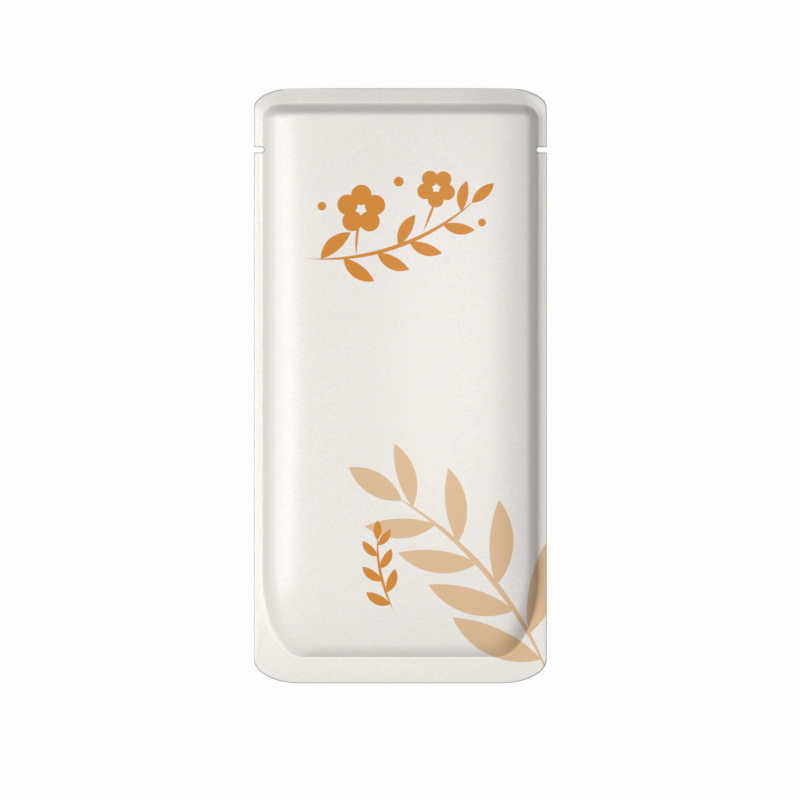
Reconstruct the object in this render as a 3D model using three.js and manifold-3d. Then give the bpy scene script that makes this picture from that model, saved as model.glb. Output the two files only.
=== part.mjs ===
// A single-serve wet wipe pack, lying on its back: one folded wet towel in a flat film bag.
// A front and a back film are heat-sealed all round the towel and cut to an outline with round
// corners, with a tear notch in each long side. Sealed for good, the pack is one soft, closed body.
// Millimetres, +Z up. X runs across the pack, and +Y points to the end with the tear notches.
// The origin is on the surface that the pack lies on, under the middle of the cut outline.

import * as THREE from "three";
import { mergeVertices } from "three/addons/utils/BufferGeometryUtils.js";
import Module from "manifold-3d";

// Cut outline. Each corner is a quarter of an ellipse.
const packWidth = 90;
const packLength = 183;
const cutCornerTopAcross = 11.7;
const cutCornerTopAlong = 6.1;
const cutCornerBottomAcross = 14.1;
const cutCornerBottomAlong = 7.4;

// Heat seal, which is both films in one band. At the top end it arches up by the lift, over a reach from
// each side in. Its droop is how far the cut edge hangs, and the bend is how late it turns down: 1 is a
// straight slope.
const sealThickness = 0.3;
const sideSealWidth = 2.3;
const topSealWidth = 4.4;
const bottomSealWidth = 8.1;
const topSealLift = 3;
const topSealLiftReach = 25;
const sideSealDroop = 0.5;
const topSealDroop = 1.9;
const bottomSealDroop = 1.5;
const sealBend = 1.05;

// Pocket, the outline inside the seal where the two films part.
const pocketCornerTopAcross = 5.8;
const pocketCornerTopAlong = 5.2;
const pocketCornerBottomAcross = 12.4;
const pocketCornerBottomAlong = 25.5;

// Front film. A steep foot runs round the pocket, with a fillet where it leaves the seal. Inside it the
// film goes on rising in a gentle dome from each long side and from the bottom end, up to a low crown.
// An edge share is how much of the height a dome leaves at the pocket's edge, and a power is how
// steeply a foot starts: 1 is straight.
const frontRise = 8.2;
const frontCrown = 1.4;
const frontFootSide = 3.9;
const frontFootTop = 3.6;
const frontFootBottom = 4.6;
const frontFilletSide = 1.2;
const frontFilletTop = 3;
const frontFilletBottom = 0.1;
const frontFootPower = 3;
const sideDomeReach = 15.7;
const sideDomeEdgeShare = 0.5;
const bottomDomeReach = 27;
const bottomDomeEdgeShare = 0.32;

// Back film: the same below the seal, pressed flat where the pack lies, with a broad foot all round.
const backDrop = 4.6;
const backFootSide = 12;
const backFootTop = 9;
const backFootBottom = 14;
const backFillet = 1.6;
const backFootPower = 2;

// Corners across a foot. At the top they shrink with the outline down to the least, and at the bottom
// they grow by this share of what the outline moves in.
const leastFootCorner = 1.2;
const bottomCornerGrowth = 0.6;

// Tear notch, a slot with a round end cut in from each long side.
const notchDepth = 3.1;
const notchWidth = 1.7;
const notchFromTop = 18.9;

// Steps in the faceted surface: along an end, a corner and a side, and across each stretch of film.
const endSteps = 8;
const cornerSteps = 10;
const sideSteps = 18;
const sealRows = 3;
const backRows = 8;
const frontRows = 12;
const crownRows = 14;
const notchSteps = 10;

// How much closer the rows of a film lie at their outer end: 1 is evenly spaced.
const rowCrowding = 1.5;

// How far a cutter runs past what it cuts, and how close points are to count as one.
const cutterOverrun = 1;
const mergeDistance = 1e-4;

const packHeight = backDrop + sealThickness + frontRise + frontCrown;

const cutOutline = {
  halfWidth: packWidth / 2,
  bottom: -packLength / 2,
  top: packLength / 2,
  topCorner: new THREE.Vector2(cutCornerTopAcross, cutCornerTopAlong),
  bottomCorner: new THREE.Vector2(cutCornerBottomAcross, cutCornerBottomAlong),
};

const pocket = {
  ...inset(cutOutline, sideSealWidth, topSealWidth, bottomSealWidth),
  topCorner: new THREE.Vector2(pocketCornerTopAcross, pocketCornerTopAlong),
  bottomCorner: new THREE.Vector2(pocketCornerBottomAcross, pocketCornerBottomAlong),
};

const frontFoot = {
  side: { width: frontFootSide, fillet: frontFilletSide },
  top: { width: frontFootTop, fillet: frontFilletTop },
  bottom: { width: frontFootBottom, fillet: frontFilletBottom },
};

const backFoot = {
  side: { width: backFootSide, fillet: backFillet },
  top: { width: backFootTop, fillet: backFillet },
  bottom: { width: backFootBottom, fillet: backFillet },
};

// An outline moved in by its own distance at the sides, the top and the bottom, corners as they are.
function inset(outline, side, top, bottom) {
  return {
    ...outline,
    halfWidth: outline.halfWidth - side,
    bottom: outline.bottom + bottom,
    top: outline.top - top,
  };
}

// The middle line that an outline closes on, as an outline with no width.
function spine(outline) {
  const { halfWidth } = outline;
  return {
    ...inset(outline, halfWidth, halfWidth, halfWidth),
    topCorner: new THREE.Vector2(0, 0),
    bottomCorner: new THREE.Vector2(0, 0),
  };
}

// The outline a share of the way from one outline to another.
function between(from, to, share) {
  return {
    halfWidth: THREE.MathUtils.lerp(from.halfWidth, to.halfWidth, share),
    bottom: THREE.MathUtils.lerp(from.bottom, to.bottom, share),
    top: THREE.MathUtils.lerp(from.top, to.top, share),
    topCorner: from.topCorner.clone().lerp(to.topCorner, share),
    bottomCorner: from.bottomCorner.clone().lerp(to.bottomCorner, share),
  };
}

// The points of an outline, anticlockwise from the left end of its bottom side, always as many.
function ring({ halfWidth, bottom, top, topCorner, bottomCorner }) {
  const lowX = halfWidth - bottomCorner.x;
  const highX = halfWidth - topCorner.x;
  const lowY = bottom + bottomCorner.y;
  const highY = top - topCorner.y;
  const quarterTurn = Math.PI / 2;
  const line = (x1, y1, x2, y2) =>
    new THREE.LineCurve(new THREE.Vector2(x1, y1), new THREE.Vector2(x2, y2));
  const arc = (x, y, radii, quarter) =>
    new THREE.EllipseCurve(x, y, radii.x, radii.y, quarter * quarterTurn, (quarter + 1) * quarterTurn);
  const stretches = [
    [line(-lowX, bottom, lowX, bottom), endSteps],
    [arc(lowX, lowY, bottomCorner, -1), cornerSteps],
    [line(halfWidth, lowY, halfWidth, highY), sideSteps],
    [arc(highX, highY, topCorner, 0), cornerSteps],
    [line(highX, top, -highX, top), endSteps],
    [arc(-highX, highY, topCorner, 1), cornerSteps],
    [line(-halfWidth, highY, -halfWidth, lowY), sideSteps],
    [arc(-lowX, lowY, bottomCorner, 2), cornerSteps],
  ];
  return stretches.flatMap(([curve, count]) => curve.getPoints(count).slice(0, -1));
}

// Which way each point of a ring faces, as an angle from +X, anticlockwise.
function ringTurns() {
  const stretches = [
    [-1, -1, endSteps],
    [-1, 0, cornerSteps],
    [0, 0, sideSteps],
    [0, 1, cornerSteps],
    [1, 1, endSteps],
    [1, 2, cornerSteps],
    [2, 2, sideSteps],
    [2, 3, cornerSteps],
  ];
  const turn = (from, to, share) => (THREE.MathUtils.lerp(from, to, share) * Math.PI) / 2;
  return stretches.flatMap(([from, to, count]) =>
    steps(count).slice(0, -1).map((share) => turn(from, to, share)),
  );
}

// What a side and an end have, mixed for a point that faces one, the other or a corner between them.
function mixByTurn(turn, side, top, bottom) {
  return side * Math.cos(turn) ** 2 + (Math.sin(turn) > 0 ? top : bottom) * Math.sin(turn) ** 2;
}

// How far in from the seal a film is after a run, with a fillet that leaves the seal level.
function pastFillet(run, fillet) {
  return run < fillet / 2 ? Math.sqrt(2 * fillet * run) : run + fillet / 2;
}

// The outline of a film at a share of the way across its foot.
function footOutline(foot, share) {
  const distance = ({ width, fillet }) => pastFillet(width * share, fillet);
  const [side, top, bottom] = [foot.side, foot.top, foot.bottom].map(distance);
  const least = new THREE.Vector2(leastFootCorner, leastFootCorner);
  const growth = new THREE.Vector2(side, bottom).multiplyScalar(bottomCornerGrowth);
  return {
    ...inset(pocket, side, top, bottom),
    topCorner: pocket.topCorner.clone().sub(new THREE.Vector2(side, top)).max(least),
    bottomCorner: pocket.bottomCorner.clone().add(growth),
  };
}

// A climb from 0 to 1 that ends level, at a share of its length.
function rounded(share, power) {
  return 1 - (1 - Math.min(share, 1)) ** power;
}

// The share of the full height that a dome leaves at a distance in from the pocket's edge.
function dome(distance, reach, edgeShare) {
  return THREE.MathUtils.lerp(edgeShare, 1, rounded(distance / reach, 2));
}

// How much higher than along the sides the seal lies at a point that faces a way.
function sealLift({ x }, turn) {
  const arch = THREE.MathUtils.smoothstep(pocket.halfWidth - Math.abs(x), 0, topSealLiftReach);
  return mixByTurn(turn, 0, topSealLift * arch, 0);
}

// The front film's height over the side seals at a point, with its domes and crown and without its foot.
function frontHeight({ x, y }) {
  const across = x / pocket.halfWidth;
  const along = (2 * y - pocket.top - pocket.bottom) / (pocket.top - pocket.bottom);
  const crown = frontCrown * (1 - across ** 2) * (1 - along ** 2);
  const sideDome = dome(pocket.halfWidth - Math.abs(x), sideDomeReach, sideDomeEdgeShare);
  const bottomDome = dome(y - pocket.bottom, bottomDomeReach, bottomDomeEdgeShare);
  return (frontRise + crown) * sideDome * bottomDome;
}

// A ring of an outline in space, with a height from each point and the way that it faces.
function raisedRing(outline, heightAt) {
  const turns = ringTurns();
  return ring(outline).map((point, i) => new THREE.Vector3(point.x, point.y, heightAt(point, turns[i])));
}

// Rings across the seal band at one of its two faces, from the pocket out to the cut edge.
function sealRings(faceZ) {
  const droop = (turn) => mixByTurn(turn, sideSealDroop, topSealDroop, bottomSealDroop);
  const heightAt = (point, turn, share) => faceZ + sealLift(point, turn) - droop(turn) * share ** sealBend;
  return steps(sealRows).map((share) =>
    raisedRing(between(pocket, cutOutline, share), (point, turn) => heightAt(point, turn, share)),
  );
}

// Rings of the back film, from the middle line of its flat out to the seal.
function backRings() {
  const heightAt = (point, turn, climb) => (backDrop + sealLift(point, turn)) * (1 - climb);
  const filmRing = (outline, climb) => raisedRing(outline, (point, turn) => heightAt(point, turn, climb));
  const foot = crowdedSteps(backRows).map((share) =>
    filmRing(footOutline(backFoot, share), rounded(share, backFootPower)),
  );
  const middle = filmRing(spine(footOutline(backFoot, 1)), 1);
  return [middle, ...foot.reverse()];
}

// Rings of the front film, from the seal in over its foot, domes and crown to its middle line.
function frontRings() {
  const sealTop = backDrop + sealThickness;
  const heightAt = (point, turn, climb) =>
    sealTop + THREE.MathUtils.lerp(sealLift(point, turn), frontHeight(point), climb);
  const filmRing = (outline, footShare) =>
    raisedRing(outline, (point, turn) => heightAt(point, turn, rounded(footShare, frontFootPower)));
  const footEnd = footOutline(frontFoot, 1);
  const foot = crowdedSteps(frontRows).map((share) => filmRing(footOutline(frontFoot, share), share));
  const crown = crowdedSteps(crownRows).map((share) => filmRing(between(footEnd, spine(footEnd), share), 1));
  return [...foot, ...crown.slice(1)];
}

// Even shares from 0 to 1.
function steps(count) {
  return Array.from({ length: count + 1 }, (_, i) => i / count);
}

// Shares from 0 to 1 that lie closer together near 0.
function crowdedSteps(count) {
  return steps(count).map((share) => share ** rowCrowding);
}

// One closed skin over a stack of rings that starts and ends on a middle line.
function closedSkin(rings) {
  const count = rings[0].length;
  const corners = rings.slice(1).flatMap((_, row) =>
    rings[row].flatMap((_, i) => {
      const next = (i + 1) % count;
      const [a, b] = [row * count + i, row * count + next];
      const [c, d] = [b + count, a + count];
      return [a, b, c, a, c, d];
    }),
  );
  const skin = new THREE.BufferGeometry().setFromPoints(rings.flat());
  skin.setIndex(corners);
  return skin;
}

// A slot cutter for the tear notch in the side at +X.
function notchCutter() {
  const radius = notchWidth / 2;
  const roundEndX = packWidth / 2 - notchDepth + radius;
  const slot = new THREE.Shape();
  slot.moveTo(packWidth / 2 + cutterOverrun, -radius);
  slot.lineTo(packWidth / 2 + cutterOverrun, radius);
  slot.lineTo(roundEndX, radius);
  slot.absarc(roundEndX, 0, radius, Math.PI / 2, (3 * Math.PI) / 2, false);
  return new THREE.ExtrudeGeometry(slot, {
    depth: packHeight + 2 * cutterOverrun,
    bevelEnabled: false,
    curveSegments: notchSteps,
  }).translate(0, 0, -cutterOverrun);
}

const wasm = await Module();
wasm.setup();

// A geometry as a solid that can be cut.
function toSolid(geometry) {
  const bare = geometry.clone();
  bare.deleteAttribute("normal");
  bare.deleteAttribute("uv");
  const merged = mergeVertices(bare, mergeDistance);
  return new wasm.Manifold(
    new wasm.Mesh({
      numProp: 3,
      vertProperties: new Float32Array(merged.attributes.position.array),
      triVerts: new Uint32Array(merged.index.array),
    }),
  );
}

// A cut solid as a geometry again.
function toGeometry(solid) {
  const { vertProperties, triVerts } = solid.getMesh();
  const geometry = new THREE.BufferGeometry();
  geometry.setAttribute("position", new THREE.BufferAttribute(vertProperties, 3));
  geometry.setIndex(new THREE.BufferAttribute(triVerts, 1));
  geometry.computeVertexNormals();
  return geometry;
}

const sealUnderside = sealRings(backDrop).slice(1);
const sealTopside = sealRings(backDrop + sealThickness).slice(1).reverse();
const bag = toSolid(closedSkin([...backRings(), ...sealUnderside, ...sealTopside, ...frontRings()]));

const notchY = packLength / 2 - notchFromTop;
const rightNotch = toSolid(notchCutter().translate(0, notchY, 0));
const leftNotch = toSolid(notchCutter().rotateZ(Math.PI).translate(0, notchY, 0));

const matteFilm = new THREE.MeshStandardMaterial({ color: 0xece9e4, roughness: 0.5, metalness: 0 });

const pouch = new THREE.Mesh(toGeometry(bag.subtract(rightNotch).subtract(leftNotch)), matteFilm);
pouch.name = "wipes_pouch";

const wipesPack = new THREE.Group();
wipesPack.add(pouch);

export default wipesPack;
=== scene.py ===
# %% [markdown]
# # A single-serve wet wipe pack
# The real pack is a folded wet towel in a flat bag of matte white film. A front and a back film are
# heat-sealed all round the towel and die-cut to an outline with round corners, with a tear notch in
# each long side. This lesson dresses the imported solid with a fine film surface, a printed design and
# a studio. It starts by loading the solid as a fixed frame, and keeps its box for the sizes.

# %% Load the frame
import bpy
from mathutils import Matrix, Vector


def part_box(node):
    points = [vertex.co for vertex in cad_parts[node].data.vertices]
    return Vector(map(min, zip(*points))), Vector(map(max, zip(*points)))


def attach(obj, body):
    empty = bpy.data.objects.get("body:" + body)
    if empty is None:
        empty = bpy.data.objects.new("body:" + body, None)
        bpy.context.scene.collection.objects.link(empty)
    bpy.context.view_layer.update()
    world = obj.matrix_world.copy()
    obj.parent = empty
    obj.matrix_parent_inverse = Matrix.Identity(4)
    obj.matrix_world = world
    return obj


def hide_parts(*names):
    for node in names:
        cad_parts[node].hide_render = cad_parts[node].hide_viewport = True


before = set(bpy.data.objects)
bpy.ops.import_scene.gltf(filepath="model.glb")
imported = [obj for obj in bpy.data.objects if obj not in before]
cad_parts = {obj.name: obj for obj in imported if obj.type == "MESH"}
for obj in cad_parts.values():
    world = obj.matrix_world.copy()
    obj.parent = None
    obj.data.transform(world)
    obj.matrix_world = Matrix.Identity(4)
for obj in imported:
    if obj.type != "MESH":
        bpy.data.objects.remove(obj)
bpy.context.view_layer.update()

# %% [markdown]
# ## Sizes
# Everything is worked out in millimetres and turned into metres when a mesh is made. The overall
# sizes come from the frame. The seal bands, corners and shoulders are the sizes that the pack is made
# to, so that the film lies where the solid does. An outline is a row of seven numbers: half its width,
# its bottom and top, then how far its top and bottom corners reach across and along the pack.

# %% Outlines of the cut edge and the pocket
import math
import bmesh
import bpy
import numpy as np

MM = 0.001
low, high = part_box("wipes_pouch")
half_width = (high.x - low.x) / 2 / MM
half_length = (high.y - low.y) / 2 / MM

SIDE_SEAL, TOP_SEAL, BOTTOM_SEAL = 2.3, 4.4, 8.1
SEAL_THICKNESS = 0.3
CUT_CORNERS = [11.7, 6.1, 14.1, 7.4]
POCKET_CORNERS = [5.8, 5.2, 12.4, 25.5]

cut = np.array([half_width, -half_length, half_length, *CUT_CORNERS])
pocket_ends = [BOTTOM_SEAL - half_length, half_length - TOP_SEAL]
pocket = np.array([half_width - SIDE_SEAL, *pocket_ends, *POCKET_CORNERS])
print("cut", cut.round(2), "pocket", pocket.round(2))

# %% [markdown]
# ## Rings
# The film is smooth along the pack's edge and bends sharply across it, so its mesh is a stack of closed
# rings that follow the edge. A ring could be sampled by angle from the middle, but then its points would
# crowd at the sides. Here each straight stretch and each corner has its own number of points, so that a
# column of the mesh runs straight in from the edge.

# %% Rings from outlines
END_STEPS, CORNER_STEPS, SIDE_STEPS = 36, 36, 150


def rings(outlines):
    """Rectangles with a quarter ellipse at each corner: x and y arrays with one ring in each row.

    A ring runs anticlockwise from the left end of its bottom side. A straight stretch is its start plus
    a share of the way to its end. A corner is its centre plus its radii times the cosine and sine of the
    turn. The last point of a stretch starts the next one, so it is left out.
    """
    half, bottom, top, top_across, top_along, low_across, low_along = outlines.T[:, :, None]
    low_x, low_y = half - low_across, bottom + low_along
    high_x, high_y = half - top_across, top - top_along

    def line(x1, y1, x2, y2, steps):
        share = np.arange(steps) / steps
        return np.stack([x1 + (x2 - x1) * share, y1 + (y2 - y1) * share])

    def arc(x, y, across, along, quarter):
        turn = (quarter + np.arange(CORNER_STEPS) / CORNER_STEPS) * np.pi / 2
        return np.stack([x + across * np.cos(turn), y + along * np.sin(turn)])

    return np.concatenate([
        line(-low_x, bottom, low_x, bottom, END_STEPS),
        arc(low_x, low_y, low_across, low_along, -1),
        line(half, low_y, half, high_y, SIDE_STEPS),
        arc(high_x, high_y, top_across, top_along, 0),
        line(high_x, top, -high_x, top, END_STEPS),
        arc(-high_x, high_y, top_across, top_along, 1),
        line(-half, high_y, -half, low_y, SIDE_STEPS),
        arc(-low_x, low_y, low_across, low_along, 2),
    ], axis=2)


columns = rings(cut[None]).shape[2]
print("columns in a ring", columns)

# %% [markdown]
# ## Which way a column faces
# A long side, the top and the bottom of the pack each have their own shoulder and seal. A column of the mesh
# faces one of them or, in a corner, something between two. Its angle is known from its place in the ring, and
# the squares of the cosine and the sine of that angle add up to one, so they are the shares of a mix.

# %% Column angles
def column_turns():
    """The angle that each column faces, from +X: evenly spread from one end of its stretch to the other."""
    quarters = [(-1, -1, END_STEPS), (-1, 0, CORNER_STEPS), (0, 0, SIDE_STEPS), (0, 1, CORNER_STEPS),
                (1, 1, END_STEPS), (1, 2, CORNER_STEPS), (2, 2, SIDE_STEPS), (2, 3, CORNER_STEPS)]
    return np.concatenate([a + (b - a) * np.arange(n) / n for a, b, n in quarters]) * np.pi / 2


turns = column_turns()


def mix_by_turn(side, bottom, top):
    """A value for each column: the side's by the squared cosine, and that end's by the squared sine."""
    return side * np.cos(turns) ** 2 + np.where(np.sin(turns) > 0, top, bottom) * np.sin(turns) ** 2


print("turns from", turns.min().round(2), "to", turns.max().round(2))

# %% [markdown]
# ## Shoulders
# Filled, the film leaves the seal in a tight fillet, climbs a short steep foot and rounds over onto the
# towel. The foot runs round the pocket like a frame. Inside it the film still bows: from each long side and
# from the bottom end it goes on rising in a broad, gentle dome, while at the top the towel is close to the
# seal and the foot does it all. So the height is a product: the foot, times a dome across and one along.

# %% Foot and dome
MIN_CORNER, LOW_CORNER_GROWTH = 1.2, 0.6


def foot_outlines(shares, width, fillet):
    """Outlines across a foot: the pocket's, moved in by a run that starts level at the seal.

    Within half a fillet the distance is the root of twice the fillet times the run, a parabola that leaves
    the seal level, and past it the distance is the run plus half the fillet. A top corner loses what its
    sides move in, and a bottom corner grows by a share of it. Both lists hold the side's, the bottom's and
    the top's value.
    """
    width, fillet = np.array(width), np.array(fillet)
    run = shares[:, None] * width
    side, bottom, top = np.where(run < fillet / 2, np.sqrt(2 * fillet * run), run + fillet / 2).T
    moved = pocket[:3] + np.stack([-side, bottom, -top], axis=1)
    top_corners = np.maximum(pocket[3:5] - np.stack([side, top], axis=1), MIN_CORNER)
    low_corners = pocket[5:] + LOW_CORNER_GROWTH * np.stack([side, bottom], axis=1)
    return np.concatenate([moved, top_corners, low_corners], axis=1)


def rounded(shares, power):
    """A climb from zero to one that ends level: one minus a power of what is left."""
    return 1 - (1 - np.clip(shares, 0, 1)) ** power


def dome(distance, reach, edge):
    """The height's share at a distance in from the pocket: edge there, rounding up to one at the reach."""
    return edge + (1 - edge) * rounded(distance / reach, 2)


def closing_outlines(outline, shares):
    """Outlines that close evenly onto the middle line of an outline, half its width in from each end."""
    middle = np.array([0, outline[1] + outline[0], outline[2] - outline[0], 0, 0, 0, 0])
    return outline + shares[:, None] * (middle - outline)


print("foot half way", rounded(0.5, 3), "dome a third of the way", dome(6.0, 18.0, 0.4).round(3))

# %% [markdown]
# ## Seal
# The two films are welded into one band round the pocket. At the top end the full bag holds it up in a low
# arch. It has little stiffness, so all round it hangs towards the table, at the left a little lower than at
# the right. The weld leaves a small bead beside the pocket, and the die that cuts the band presses its edge
# down. Each of these is a height over a ring, so the seal is their sum.

# %% Seal surface
BACK_DROP = 4.6
TOP_SEAL_LIFT, TOP_LIFT_REACH = 3.0, 25.0
SEAL_DROOP = [0.5, 1.5, 1.9]
SIDE_DROOP_SKEW = 0.3
SEAL_BEND = 1.05
SEAL_BEAD, SEAL_BEAD_WIDTH = 0.08, 0.7
EDGE_ROLL_DEPTH, EDGE_ROLL_WIDTH = 0.24, 0.4
SEAL_ROWS, ROLL_ROWS = 14, 4
SEAL_CROWDING = 0.6


def seal_rows():
    """Outlines from the cut edge to the pocket: even steps over the pressed edge, then ever closer ones."""
    rolled = cut + EDGE_ROLL_WIDTH * np.array([-1, 1, -1, 0, 0, 0, 0])
    pressed = cut + np.linspace(0, 1, ROLL_ROWS + 1)[:-1, None] * (rolled - cut)
    shares = np.linspace(0, 1, SEAL_ROWS + 1)[:, None] ** SEAL_CROWDING
    return np.concatenate([pressed, rolled + shares * (pocket - rolled)])


def seal_lift(x):
    """How far the seal arches up at the top end: a smooth step from each side in, and nothing elsewhere."""
    share = np.clip((pocket[0] - np.abs(x)) / TOP_LIFT_REACH, 0, 1)
    return mix_by_turn(0, 0, TOP_SEAL_LIFT * share ** 2 * (3 - 2 * share))


seal_xy = rings(seal_rows())
from_pocket = np.linalg.norm(seal_xy - seal_xy[:, -1:], axis=0)
seal_share = from_pocket / from_pocket[0]
droop = (mix_by_turn(*SEAL_DROOP) - SIDE_DROOP_SKEW * np.cos(turns) ** 3) * seal_share ** SEAL_BEND
roll_share = np.clip(1 - np.arange(len(seal_share)) / ROLL_ROWS, 0, 1)
seal_under = BACK_DROP + seal_lift(seal_xy[0]) - droop
bead_share = np.clip(from_pocket / SEAL_BEAD_WIDTH, 0, 2)
seal_bead = mix_by_turn(SEAL_BEAD, SEAL_BEAD, 0) * (1 - np.cos(np.pi * bead_share)) / 2
seal_top = seal_under + SEAL_THICKNESS + seal_bead - EDGE_ROLL_DEPTH * roll_share[:, None] ** 2
print("seal rows", len(seal_top), "cut edge at", seal_under[0].min().round(2), "to",
      seal_under[0].max().round(2), "mm")

# %% [markdown]
# ## Front film
# The front film is seen whole. From the seal its rows go up the foot, over the domes and a low crown to the
# middle line. A cloth simulation could blow up two flat sheets, but it would put its creases where it likes.
# Here the sizes are fitted to where the light turns on the real film: a narrow dark band at the right and the
# top, a broad bright one at the left, and a flat front between them.

# %% Front film surface
FRONT_RISE, FRONT_CROWN = 8.2, 1.4
FRONT_FOOT, FRONT_FILLET = [3.9, 4.6, 3.6], [1.2, 0.1, 3.0]
FOOT_POWER = 3
SIDE_DOME_REACH, SIDE_DOME_EDGE = 15.7, 0.5
BOTTOM_DOME_REACH, BOTTOM_DOME_EDGE = 27.0, 0.32
FOOT_ROWS, CROWN_ROWS = 36, 44
FOOT_CROWDING = 1.6


def crown_height(x, y):
    """The low crown: a parabola across the pocket, times one along it."""
    across = x / pocket[0]
    along = (2 * y - pocket[1] - pocket[2]) / (pocket[2] - pocket[1])
    return FRONT_CROWN * (1 - across ** 2) * (1 - along ** 2)


foot_shares = np.linspace(0, 1, FOOT_ROWS + 1)[1:] ** FOOT_CROWDING
front_foot = foot_outlines(foot_shares, FRONT_FOOT, FRONT_FILLET)
front_crown = closing_outlines(front_foot[-1], np.linspace(0, 1, CROWN_ROWS + 1)[1:])
front_xy = rings(np.concatenate([front_foot, front_crown]))
front_x, front_y = front_xy
climb = rounded(np.concatenate([foot_shares, np.ones(CROWN_ROWS)]), FOOT_POWER)[:, None]
side_dome = dome(pocket[0] - np.abs(front_x), SIDE_DOME_REACH, SIDE_DOME_EDGE)
bottom_dome = dome(front_y - pocket[1], BOTTOM_DOME_REACH, BOTTOM_DOME_EDGE)
front_height = (FRONT_RISE + crown_height(front_x, front_y)) * side_dome * bottom_dome
front_z = BACK_DROP + SEAL_THICKNESS + seal_lift(front_x) * (1 - climb) + front_height * climb
print("front rows", len(front_z), "top", front_z.max().round(2), "mm")

# %% [markdown]
# ## Back film
# The back film is the same below the seal, pressed flat where the pack lies. Its rows run the other way, from
# the middle line of the flat out to the seal, so that front and back join into one skin.

# %% Back film surface
BACK_FOOT, BACK_FILLET = [12.0, 14.0, 9.0], [1.6, 1.6, 1.6]
BACK_FOOT_POWER = 2
BACK_ROWS, FLAT_ROWS = 26, 6
BACK_CROWDING = 2

back_shares = np.linspace(1, 0, BACK_ROWS + 1)[:-1] ** BACK_CROWDING
back_foot = foot_outlines(back_shares, BACK_FOOT, BACK_FILLET)
back_flat = closing_outlines(back_foot[0], np.linspace(1, 0, FLAT_ROWS + 1)[:-1])
back_xy = rings(np.concatenate([back_flat, back_foot]))
back_share = rounded(np.concatenate([np.ones(FLAT_ROWS), back_shares]), BACK_FOOT_POWER)
back_z = (1 - back_share)[:, None] * (BACK_DROP + seal_lift(back_xy[0]))
print("back rows", len(back_z), "lowest", back_z.min().round(4), "mm")

# %% [markdown]
# ## One closed skin
# The rows are stacked from the middle of the back, out to the cut edge and in to the middle of the front.
# At the cut edge a shallow groove shows that the seal is two films. The skin's faces are of three kinds:
# printed front, plain back, and the cut edge with the first pressed rows beside it, painted grey as painted
# shade along the edge, which shows as a thin dark line round the pack. The painted line is thinner along the
# sides, and along the top, where the edge turns away from the eye, there is none.

# %% Stack the rows
EDGE_GROOVE = 0.06
CORNER_SHADE_ROWS, SIDE_SHADE_ROWS = 4, 3
TOP_FACING, SIDE_FACING = 0.97, 0.999
PRINTED, PLAIN, SHADED_EDGE = 0, 1, 2

groove_xy = rings((cut - [EDGE_GROOVE, -EDGE_GROOVE, EDGE_GROOVE, 0, 0, 0, 0])[None])
groove_z = (seal_top[:1] + seal_under[:1]) / 2
skin_xy = np.concatenate([back_xy, seal_xy[:, ::-1], groove_xy, seal_xy, front_xy], axis=1)
skin_z = np.concatenate([back_z, seal_under[::-1], groove_z, seal_top, front_z])
skin = np.concatenate([skin_xy, skin_z[None]]).transpose(1, 2, 0)
edge_row = len(back_z) + len(seal_under) - 1

rows = len(skin)
row, column = np.meshgrid(np.arange(rows - 1), np.arange(columns), indexing="ij")
beside = (column + 1) % columns
quads = np.stack([row * columns + column, row * columns + beside,
                  (row + 1) * columns + beside, (row + 1) * columns + column], axis=-1).reshape(-1, 4)
on_front = (row >= edge_row).reshape(-1)
# Painted shade: how many rows in from the cut edge are painted grey, and none along the top.
shade_rows = np.where(np.abs(np.cos(turns)) > SIDE_FACING, SIDE_SHADE_ROWS, CORNER_SHADE_ROWS)
shade_rows = np.where(np.sin(turns) > TOP_FACING, 0, shade_rows)
on_shaded_edge = on_front & (row < edge_row + shade_rows[column]).reshape(-1)
face_film = np.where(on_shaded_edge, SHADED_EDGE, np.where(on_front, PRINTED, PLAIN))
print("skin", skin.shape, "quads", len(quads), "on the front", on_front.sum())

# %% [markdown]
# ## Flat map
# A baked texture needs a flat map of the skin. An automatic unwrap would cut the print into
# pieces, so this one is laid out: the front film in the left half and the back film, mirrored, in
# the right half. The thin cut edge is spread out round the front film.

# %% Flat map of both films
MAP_SIDE = 188.0
FRONT_MIDDLE, BACK_MIDDLE, MAP_MIDDLE = 0.25, 0.75, 0.5
outward = seal_xy[:, 0] - seal_xy[:, -1]
outward = outward / np.linalg.norm(outward, axis=0)
front_flat = skin_xy.copy()
front_flat[:, edge_row] += SEAL_THICKNESS * outward
front_flat[:, edge_row + 1] = skin_xy[:, edge_row] + SEAL_THICKNESS / 2 * outward
front_map = np.stack([FRONT_MIDDLE + front_flat[0] / MAP_SIDE,
                      MAP_MIDDLE + front_flat[1] / MAP_SIDE], axis=-1)
back_map = np.stack([BACK_MIDDLE - skin_xy[0] / MAP_SIDE,
                     MAP_MIDDLE + skin_xy[1] / MAP_SIDE], axis=-1)
front_loops, back_loops = front_map.reshape(-1, 2)[quads], back_map.reshape(-1, 2)[quads]
loop_map = np.where(on_front[:, None, None], front_loops, back_loops)
print("map from", loop_map.min((0, 1)).round(3), "to", loop_map.max((0, 1)).round(3))

# %% [markdown]
# ## Film mesh
# The arrays become a mesh in one go. Along the two middle lines the rings are closed onto themselves, so the
# points there lie on each other. Merging them by distance makes one closed skin.

# %% Film mesh
MERGE_DISTANCE = 1e-6
film_mesh = bpy.data.meshes.new("wipe_pack_film")
film_mesh.from_pydata((skin.reshape(-1, 3) * MM).tolist(), [], quads.tolist())
film_mesh.polygons.foreach_set("material_index", face_film.astype(np.int32))
film_mesh.uv_layers.new(name="OFBake").data.foreach_set("uv", loop_map.astype(np.float32).ravel())

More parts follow.
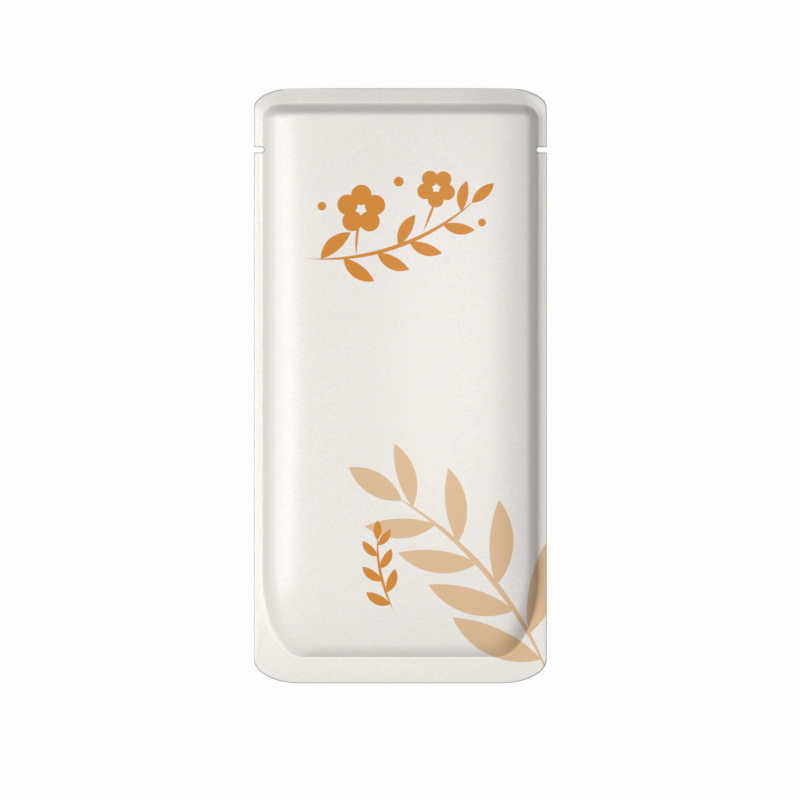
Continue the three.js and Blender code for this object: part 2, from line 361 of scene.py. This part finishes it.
film_bm = bmesh.new()
film_bm.from_mesh(film_mesh)
bmesh.ops.remove_doubles(film_bm, verts=film_bm.verts, dist=MERGE_DISTANCE)
film_bm.to_mesh(film_mesh)
film_bm.free()
film = bpy.data.objects.new("wipe_pack_film", film_mesh)
bpy.context.scene.collection.objects.link(film)
print("film", len(film_mesh.vertices), "points", len(film_mesh.polygons), "faces")

# %% [markdown]
# ## Tear notches
# A die cuts a small slot with a round end into each long side. A slot could be drawn into the rings, but it
# crosses them at an odd place, so it is cut by a boolean instead. Each cutter carries its own strip of the
# flat map, between the two films, for the walls that it leaves.

# %% Cut the tear notches
NOTCH_DEPTH, NOTCH_WIDTH, NOTCH_FROM_TOP = 3.1, 1.7, 18.9
NOTCH_STEPS = 24
OVERRUN = 1.0
STRIP_OFFSET = 0.2


def notch_cutter(side):
    """A prism along Z. Its outline is a half circle at the notch's end, and two points past the cut edge."""
    radius = NOTCH_WIDTH / 2
    turn = np.linspace(np.pi / 2, 3 * np.pi / 2, NOTCH_STEPS + 1)
    end_x = half_width - NOTCH_DEPTH + radius
    x = np.concatenate([end_x + radius * np.cos(turn), [half_width + OVERRUN] * 2])
    y = np.concatenate([radius * np.sin(turn), [-radius, radius]])
    around = np.arange(len(x))
    level = np.array([-OVERRUN, high.z / MM + OVERRUN])
    flat = np.stack([x * side, y * side + half_length - NOTCH_FROM_TOP], axis=-1)
    points = np.concatenate([np.insert(flat, 2, z, axis=1) for z in level])
    walls = np.stack([around, np.roll(around, -1), np.roll(around, -1) + len(x), around + len(x)], axis=-1)
    mesh = bpy.data.meshes.new("notch_cutter")
    ends = [around[::-1].tolist(), (around + len(x)).tolist()]
    mesh.from_pydata((points * MM).tolist(), [], [*walls.tolist(), *ends])
    along = np.concatenate([[0], np.cumsum(np.hypot(np.diff(x), np.diff(y)))])
    strip = np.stack([MAP_MIDDLE + (points[:, 2] - BACK_DROP) / MAP_SIDE / 2,
                      MAP_MIDDLE + side * STRIP_OFFSET + np.tile(along, 2) / MAP_SIDE], axis=-1)
    corners = np.zeros(len(mesh.loops), np.int32)
    mesh.loops.foreach_get("vertex_index", corners)
    mesh.uv_layers.new(name="OFBake").data.foreach_set("uv", strip[corners].astype(np.float32).ravel())
    cutter = bpy.data.objects.new("notch_cutter", mesh)
    bpy.context.scene.collection.objects.link(cutter)
    return cutter


cutters = [notch_cutter(side) for side in (1, -1)]
for cutter in cutters:
    cut_notch = film.modifiers.new("tear_notch", "BOOLEAN")
    cut_notch.operation = "DIFFERENCE"
    cut_notch.solver = "EXACT"
    cut_notch.object = cutter
bpy.context.view_layer.update()
notched = bpy.data.meshes.new_from_object(film.evaluated_get(bpy.context.evaluated_depsgraph_get()))
film.modifiers.clear()
film.data = notched
for cutter in cutters:
    bpy.data.objects.remove(cutter)
print("notches cut", len(cutters), "each", NOTCH_DEPTH, "by", NOTCH_WIDTH, "mm")

# %% Shade the notched film
SHARP_ANGLE = math.radians(50)
notched.polygons.foreach_set("use_smooth", np.ones(len(notched.polygons), bool))
notched.set_sharp_from_angle(angle=SHARP_ANGLE)
film_kinds = np.zeros(len(notched.polygons), np.int32)
notched.polygons.foreach_get("material_index", film_kinds)
print("notched film", len(notched.polygons), "faces,", np.bincount(film_kinds), "of each kind")

# %% [markdown]
# ## Materials
# One small function adds a node, sets its properties and gives its inputs a value or a link. Colours are
# written as hex, as a printer would, and turned into the linear values that the renderer works with.

# %% Node and colour helpers
def add_node(tree, kind, inputs, **settings):
    """A new node of a kind, with its settings, and each input given a number, a colour or a link."""
    node = tree.nodes.new(kind)
    for name, value in settings.items():
        setattr(node, name, value)
    for socket, value in inputs.items():
        if isinstance(value, bpy.types.NodeSocket):
            tree.links.new(value, node.inputs[socket])
        else:
            node.inputs[socket].default_value = value
    return node


def linear(hex_colour):
    """An sRGB hex colour as linear red, green, blue and alpha."""
    srgb = np.array([int(hex_colour[i:i + 2], 16) for i in (1, 3, 5)]) / 255
    rgb = np.where(srgb <= 0.04045, srgb / 12.92, ((srgb + 0.055) / 1.055) ** 2.4)
    return [*rgb.tolist(), 1.0]


FILM_WHITE = linear("#EBE8E3")
# Painted shade: the grey of the cut edge and of the rows beside it, a dark line round the pack.
EDGE_SHADE_GREY = linear("#94928E")
GOLD_INK = linear("#CE8000")
PALE_TAN_INK = linear("#DAB78D")
print("film white", np.round(FILM_WHITE, 3))

# %% [markdown]
# ## Printed design
# The print is flat areas of gold and pale tan ink: a gold twig with two blossoms near the top, a leafy tan
# branch that runs off the lower right of the pack, and a small gold sprig beside it. Every leaf is a blade,
# the shape between two arcs that meet in a point at both ends. A blade needs only two distances and a dot
# one, so the shader can draw them with sharp edges at any size, which a painted picture can't.

# %% Blades
def arc_circle(start, end, bulge):
    """Centre and radius of an arc whose middle stands out by bulge, to the left of its chord if positive."""
    chord = end - start
    length = np.hypot(*chord)
    normal = np.array([-chord[1], chord[0]]) / length
    radius = (length ** 2 / 4 + bulge ** 2) / (2 * abs(bulge))
    centre = (start + end) / 2 + normal * (bulge - math.copysign(radius, bulge))
    return centre, radius


def blade(start, end, left, right):
    """A blade's two bounding arcs, each as a centre, a radius and the side of it that is inked.

    left and right are how far the arcs stand out to the left of the straight line. The ink is inside the
    left arc's circle, and inside or outside the right arc's, as that arc bends away or the same way.
    """
    start, end = np.array(start), np.array(end)
    left_side = math.copysign(1, left)
    right_side = -math.copysign(1, right)
    return [(*arc_circle(start, end, left), left_side), (*arc_circle(start, end, right), right_side)]


print("a leaf's arcs", [round(radius, 2) for _, radius, _ in blade((0.0, 0.0), (20.0, 0.0), 4.0, -2.0)], "mm")

# %% Branches
LEAF_BEND = 0.16
TIP_SHARE, TIP_SLIMNESS = 0.95, 2.6


def along_arc(start, end, bulge, share):
    """The point at a share of the way along an arc, and the angle of the arc's direction there."""
    start, end = np.array(start), np.array(end)
    centre, radius = arc_circle(start, end, bulge)
    half_turn = math.asin(min(1, np.hypot(*(end - start)) / 2 / radius))
    sense = math.copysign(1, bulge)
    heading = math.atan2(end[1] - start[1], end[0] - start[0]) + sense * half_turn * (1 - 2 * share)
    return centre + sense * radius * np.array([-math.sin(heading), math.cos(heading)]), heading


def branch(start, end, bulge, stem, left, right, length, width, spread):
    """A curved stem with leaves on both sides and one at its tip.

    left and right list the shares of the stem's length where leaves start. A leaf leans out by spread from
    the stem's direction and bends towards the stem's tip. Its length goes evenly from the first length at the
    stem's start to the second at its end, and its width goes with its length.
    """
    blades = [blade(start, end, bulge + stem / 2, bulge - stem / 2)]
    for share, side in [(share, 1) for share in left] + [(share, -1) for share in right]:
        base, heading = along_arc(start, end, bulge, share)
        lean = heading + side * spread
        reach = length[0] + (length[1] - length[0]) * share
        wide = width * reach / max(length)
        tip = base + reach * np.array([math.cos(lean), math.sin(lean)])
        bend = LEAF_BEND * side
        blades.append(blade(base, tip, wide * (bend + 0.5), wide * (bend - 0.5)))
    base, heading = along_arc(start, end, bulge, TIP_SHARE)
    tip = base + min(length) * np.array([math.cos(heading), math.sin(heading)])
    blades.append(blade(base, tip, width / TIP_SLIMNESS, -width / TIP_SLIMNESS))
    return blades


tan_branch = branch((47.0, -93.0), (-3.0, -33.0), -7.0, stem=1.6, left=[0.12, 0.34, 0.57, 0.79],
                    right=[0.23, 0.46, 0.68, 0.9], length=(32.0, 19.0), width=9.0, spread=math.radians(40))
gold_twig = branch((-29.0, 39.0), (24.0, 58.0), -6.0, stem=1.2, left=[0.08, 0.5, 0.88],
                   right=[0.2, 0.38, 0.56, 0.76], length=(12.5, 9.0), width=4.4, spread=math.radians(42))
gold_sprig = branch((-2.0, -69.0), (-7.0, -46.0), 1.5, stem=0.9, left=[0.1, 0.42, 0.74],
                    right=[0.26, 0.58, 0.88], length=(8.5, 6.0), width=3.2, spread=math.radians(40))
print("blades", len(tan_branch) + len(gold_twig) + len(gold_sprig))

# %% Blossoms, buds and painted shade round the notches
PETAL_PLACE, PETAL_SIZE = 0.6, 0.42
NOTCH_SHADE_MARGIN, SHADE_DOTS = 0.25, 8


def blossom(x, y, size, tilt):
    """Five round petals evenly round a middle, as x, y and radius. They leave a small star bare."""
    turn = tilt + 2 * np.pi * np.arange(5) / 5
    place = np.array([x, y]) + PETAL_PLACE * size * np.stack([np.cos(turn), np.sin(turn)], axis=-1)
    return [(*petal, PETAL_SIZE * size) for petal in place.tolist()]


def notch_shade(side):
    """Painted shade round a notch, in the cut edge's grey: a row of dots that are a little wider than the
    notch.
    """
    dots = np.linspace(half_width - NOTCH_DEPTH + NOTCH_WIDTH / 2, half_width, SHADE_DOTS) * side
    return [(x, half_length - NOTCH_FROM_TOP, NOTCH_WIDTH / 2 + NOTCH_SHADE_MARGIN) for x in dots.tolist()]


notch_shades = notch_shade(1) + notch_shade(-1)
blossoms = blossom(-12.0, 54.0, 7.4, 0.3) + blossom(11.0, 60.5, 5.8, 0.9)
buds = [(-24.0, 55.0, 1.3), (-0.5, 62.5, 1.5), (25.0, 50.0, 1.2)]
stalks = [blade((-13.5, 39.9), (-12.0, 52.0), 0.9, 0.1), blade((7.0, 47.3), (11.0, 58.0), 0.2, -0.6)]
print("dots", len(blossoms) + len(buds) + len(notch_shades))

# %% [markdown]
# ## Film
# The pack's film is a laminate, polyester over polythene, with a matt varnish on its face: warm white, with a
# soft broad sheen and a fine grain that scatters light. Plastic film has an index of about 1.5, but the rough
# varnish gives back only part of its mirror reflection, so the specular level is lower than a smooth film's.
# The grain of the varnish is some hundredths of a millimetre, too fine to show, so it is drawn at about half
# a millimetre. The print is ink under the varnish, so it changes only the colour. The back is the same film
# with no print. The cut edge and the pressed rows beside it are the same film painted grey, as painted shade
# along the edge.

# %% Ink shapes in the shader
EDGE_BLEED = 0.05


def ink_distance(tree, point, blades, dots):
    """How far a point lies outside the nearest shape, and below zero inside.

    From an arc it is the distance from its centre less its radius, turned round where the ink is outside. For
    a blade it is the greater of its two arcs'. For a dot it is the distance from its middle less its radius.
    """
    def from_circle(centre, radius, side):
        reach = add_node(tree, "ShaderNodeVectorMath", {0: point, 1: (*centre, 0)}, operation="DISTANCE")
        terms = {0: reach.outputs["Value"], 1: side, 2: -side * radius}
        return add_node(tree, "ShaderNodeMath", terms, operation="MULTIPLY_ADD").outputs[0]

    def pick(distances, which):
        best = distances[0]
        for distance in distances[1:]:
            best = add_node(tree, "ShaderNodeMath", {0: best, 1: distance}, operation=which).outputs[0]
        return best

    blade_distances = [pick([from_circle(*arc) for arc in arcs], "MAXIMUM") for arcs in blades]
    dot_distances = [from_circle((x, y), radius, 1) for x, y, radius in dots]
    return pick(blade_distances + dot_distances, "MINIMUM")


def ink_mask(tree, point, blades, dots):
    """One where there is ink and zero where there is none, with an edge as wide as ink bleeds."""
    return add_node(tree, "ShaderNodeMapRange", {
        "Value": ink_distance(tree, point, blades, dots), "From Min": EDGE_BLEED, "From Max": -EDGE_BLEED,
        "To Min": 0.0, "To Max": 1.0}).outputs["Result"]


print("ink edges", 2 * EDGE_BLEED, "mm wide")

# %% Matt film
FILM_IOR = 1.5
FILM_SPECULAR = 0.32
FILM_ROUGHNESS = 0.32
GRAIN_SIZE, GRAIN_DEPTH = 0.6, 0.012
GRAIN_SPAN, GRAIN_TONES = (0.3, 0.7), (0.95, 1.045)


def matte_film(name, base, inks):
    """Matt varnished laminate: a base colour with a fine grain, under any inks as colour, blades and dots."""
    material = bpy.data.materials.new(name)
    material.use_nodes = True
    tree = material.node_tree
    tree.nodes.clear()
    place = add_node(tree, "ShaderNodeTexCoord", {}).outputs["Object"]
    flat = add_node(tree, "ShaderNodeVectorMath", {0: place, 1: (1 / MM, 1 / MM, 0)}, operation="MULTIPLY")
    grain = add_node(tree, "ShaderNodeTexNoise", {
        "Vector": place, "Scale": 1 / (GRAIN_SIZE * MM), "Detail": 2.0}).outputs["Fac"]
    tone = add_node(tree, "ShaderNodeMapRange", {
        "Value": grain, "From Min": GRAIN_SPAN[0], "From Max": GRAIN_SPAN[1],
        "To Min": GRAIN_TONES[0], "To Max": GRAIN_TONES[1]}).outputs["Result"]
    white = add_node(tree, "ShaderNodeVectorMath", {0: base[:3], "Scale": tone}, operation="SCALE")
    colour = white.outputs[0]
    for ink, blades, dots in inks:
        layers = {"Factor": ink_mask(tree, flat.outputs[0], blades, dots), "A": colour, "B": ink}
        colour = add_node(tree, "ShaderNodeMix", layers, data_type="RGBA").outputs["Result"]
    bump = add_node(tree, "ShaderNodeBump", {"Height": grain, "Strength": 1.0, "Distance": GRAIN_DEPTH * MM})
    shader = add_node(tree, "ShaderNodeBsdfPrincipled", {
        "Base Color": colour, "Roughness": FILM_ROUGHNESS, "IOR": FILM_IOR,
        "Specular IOR Level": FILM_SPECULAR, "Normal": bump.outputs["Normal"]})
    add_node(tree, "ShaderNodeOutputMaterial", {"Surface": shader.outputs["BSDF"]})
    return material


print("film roughness", FILM_ROUGHNESS, "grain", GRAIN_SIZE, "mm")

# %% Film materials
front_film = matte_film("matte_laminate_film_printed", FILM_WHITE, [
    # Painted shade: a grey ring round each tear notch, drawn like ink.
    (EDGE_SHADE_GREY, [], notch_shades),
    (PALE_TAN_INK, tan_branch, []),
    (GOLD_INK, gold_twig + stalks + gold_sprig, blossoms + buds),
])
back_film = matte_film("matte_laminate_film_plain", FILM_WHITE, [])
# Painted shade: the cut edge and its pressed rows in a dark grey.
edge_shade_film = matte_film("cut_edge_painted_shade", EDGE_SHADE_GREY, [])
for material in (front_film, back_film, edge_shade_film):
    film.data.materials.append(material)
film.data.polygons.foreach_set("material_index", film_kinds)
print("materials", [m.name for m in film.data.materials], "print nodes", len(front_film.node_tree.nodes))

# %% [markdown]
# ## Tie to the frame
# The film takes the place of the solid in the frame. It is soft, and about three quarters of its outside box
# is full: the rest is the seal's thin band and the round of the shoulders.

# %% Tie the film to the frame
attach(film, "root")
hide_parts("wipes_pouch")

# %% [markdown]
# ## Studio
# The pack lies on a plain white floor. A lit sheet of paper never renders evenly white, so the floor is white
# to the camera and to reflections, with a small share of real paper that keeps the pack's shadow. It lies a
# hair under the flat of the back, because two surfaces in one plane would show through each other.

# %% Floor
FLOOR_HALF, FLOOR_GAP = 3.0, 0.1
FLOOR_GLOW = 0.97
PAPER_GREY, WHITE = linear("#D8D8D8"), linear("#FFFFFF")
floor_mesh = bpy.data.meshes.new("floor")
floor_corners = FLOOR_HALF * np.array([[-1, -1, 0], [1, -1, 0], [1, 1, 0], [-1, 1, 0]])
floor_corners[:, 2] = -FLOOR_GAP * MM
floor_mesh.from_pydata(floor_corners.tolist(), [], [[0, 1, 2, 3]])
floor = bpy.data.objects.new("floor", floor_mesh)
bpy.context.scene.collection.objects.link(floor)


def seen_directly(tree):
    """One for rays from the camera and from glossy or clear surfaces, and zero for light that lands."""
    path = add_node(tree, "ShaderNodeLightPath", {})
    mirror = add_node(tree, "ShaderNodeMath", {0: path.outputs["Is Glossy Ray"],
                                               1: path.outputs["Is Transmission Ray"]}, operation="MAXIMUM")
    return add_node(tree, "ShaderNodeMath", {0: path.outputs["Is Camera Ray"], 1: mirror.outputs[0]},
                    operation="MAXIMUM").outputs[0]


floor_paper = bpy.data.materials.new("white_paper_floor")
floor_paper.use_nodes = True
floor_tree = floor_paper.node_tree
floor_tree.nodes.clear()
matt = add_node(floor_tree, "ShaderNodeBsdfDiffuse", {"Color": PAPER_GREY})
glow = add_node(floor_tree, "ShaderNodeEmission", {"Color": WHITE, "Strength": 1.0})
glow_share = add_node(floor_tree, "ShaderNodeMath", {0: seen_directly(floor_tree), 1: FLOOR_GLOW},
                      operation="MULTIPLY")
lit = add_node(floor_tree, "ShaderNodeMixShader", {
    0: glow_share.outputs[0], 1: matt.outputs[0], 2: glow.outputs[0]})
add_node(floor_tree, "ShaderNodeOutputMaterial", {"Surface": lit.outputs[0]})
floor_mesh.materials.append(floor_paper)
print("floor", 2 * FLOOR_HALF, "m wide")

# %% World
FILL_LEVEL = 0.03
world = bpy.data.worlds.new("studio")
bpy.context.scene.world = world
world.use_nodes = True
world_tree = world.node_tree
world_tree.nodes.clear()
level = add_node(world_tree, "ShaderNodeMapRange", {"Value": seen_directly(world_tree),
                                                    "To Min": FILL_LEVEL, "To Max": 1.0})
sky = add_node(world_tree, "ShaderNodeBackground", {"Color": WHITE, "Strength": level.outputs["Result"]})
add_node(world_tree, "ShaderNodeOutputWorld", {"Surface": sky.outputs["Background"]})
print("world fill", FILL_LEVEL)

# %% [markdown]
# ## Lamps
# A large softbox hangs overhead, a little towards the bottom end, and lights the front evenly. A smaller key
# light stands at the left, over half way up: it draws the bright band down the left shoulder and leaves the
# right one dark. A sun lamp could be the key, but its highlight would be hard and thin.

# %% Softboxes
from mathutils import Matrix, Vector


def softbox(name, direction, distance, width, height, level):
    """A rectangular lamp facing the pack, its height along Y. A white surface that faces it renders at level.

    Pi squared times the squared distance is the power, in watts, that renders it at one.
    """
    lamp = bpy.data.lights.new(name, "AREA")
    lamp.shape = "RECTANGLE"
    lamp.size, lamp.size_y = width, height
    lamp.energy = level * math.pi ** 2 * distance ** 2
    stand = bpy.data.objects.new(name, lamp)
    towards = Vector(direction).normalized()
    stand.location = towards * distance
    side = Vector((0, 1, 0)).cross(towards).normalized()
    stand.rotation_euler = Matrix((side, towards.cross(side), towards)).transposed().to_euler()
    stand.visible_camera = False
    bpy.context.scene.collection.objects.link(stand)
    print(name, round(lamp.energy, 2), "W")


softbox("overhead_softbox", (0.06, -0.16, 1), distance=1.4, width=1.4, height=2.0, level=0.69)
softbox("key_softbox", (-0.588, 0, 0.809), distance=1.2, width=0.34, height=0.6, level=0.55)

# %% [markdown]
# ## Sheen
# A long soft sheen lies on the front, right of its middle. It could be painted into the film, but it is
# light, so a lamp makes it: a spot with a snoot, straight above. Scaled down across, its round pool becomes a
# long one, and a full blend lets it fade all the way to its rim. A spot's power counts for a whole sphere,
# so it takes four times a softbox's for the same level.

# %% Snooted spot
SHEEN_CENTRE, SHEEN_REACH = (17.0, 11.0), (15.5, 88.0)
SHEEN_HEIGHT, SHEEN_LEVEL = 1.0, 0.11
SPOT_RADIUS = 0.02
sheen_lamp = bpy.data.lights.new("sheen_spot", "SPOT")
sheen_lamp.spot_size = 2 * math.atan(SHEEN_REACH[1] * MM / SHEEN_HEIGHT)
sheen_lamp.spot_blend = 1.0
sheen_lamp.shadow_soft_size = SPOT_RADIUS
sheen_lamp.energy = SHEEN_LEVEL * 4 * math.pi ** 2 * SHEEN_HEIGHT ** 2
sheen_spot = bpy.data.objects.new("sheen_spot", sheen_lamp)
sheen_spot.location = (SHEEN_CENTRE[0] * MM, SHEEN_CENTRE[1] * MM, SHEEN_HEIGHT)
sheen_spot.scale.x = SHEEN_REACH[0] / SHEEN_REACH[1]
bpy.context.scene.collection.objects.link(sheen_spot)
print("sheen spot", round(sheen_lamp.energy, 2), "W")

# %% [markdown]
# ## Camera
# The photograph looks at the pack's front squarely, with almost no perspective. The pack lies on its back,
# so the camera hangs straight above it with a long lens. Its distance follows from the pack's width in the
# frame.

# %% Camera over the pack
PACK_PIXELS, FRAME_PIXELS = 292.7, 800
FRAME_CENTRE_X, FRAME_CENTRE_Y = -0.11, -4.34
LENS, SENSOR = 300.0, 36.0
VIEW_END = 20
frame_side = 2 * half_width * MM * FRAME_PIXELS / PACK_PIXELS
camera = bpy.data.objects.new("camera", bpy.data.cameras.new("camera"))
camera.data.lens, camera.data.sensor_width = LENS, SENSOR
camera_height = frame_side * LENS / SENSOR + BACK_DROP * MM
camera.location = (FRAME_CENTRE_X * MM, FRAME_CENTRE_Y * MM, camera_height)
camera.data.clip_end = VIEW_END
bpy.context.scene.collection.objects.link(camera)
bpy.context.scene.camera = camera
bpy.context.scene.view_settings.view_transform = "Standard"
print("camera", round(camera_height, 3), "m above the floor")
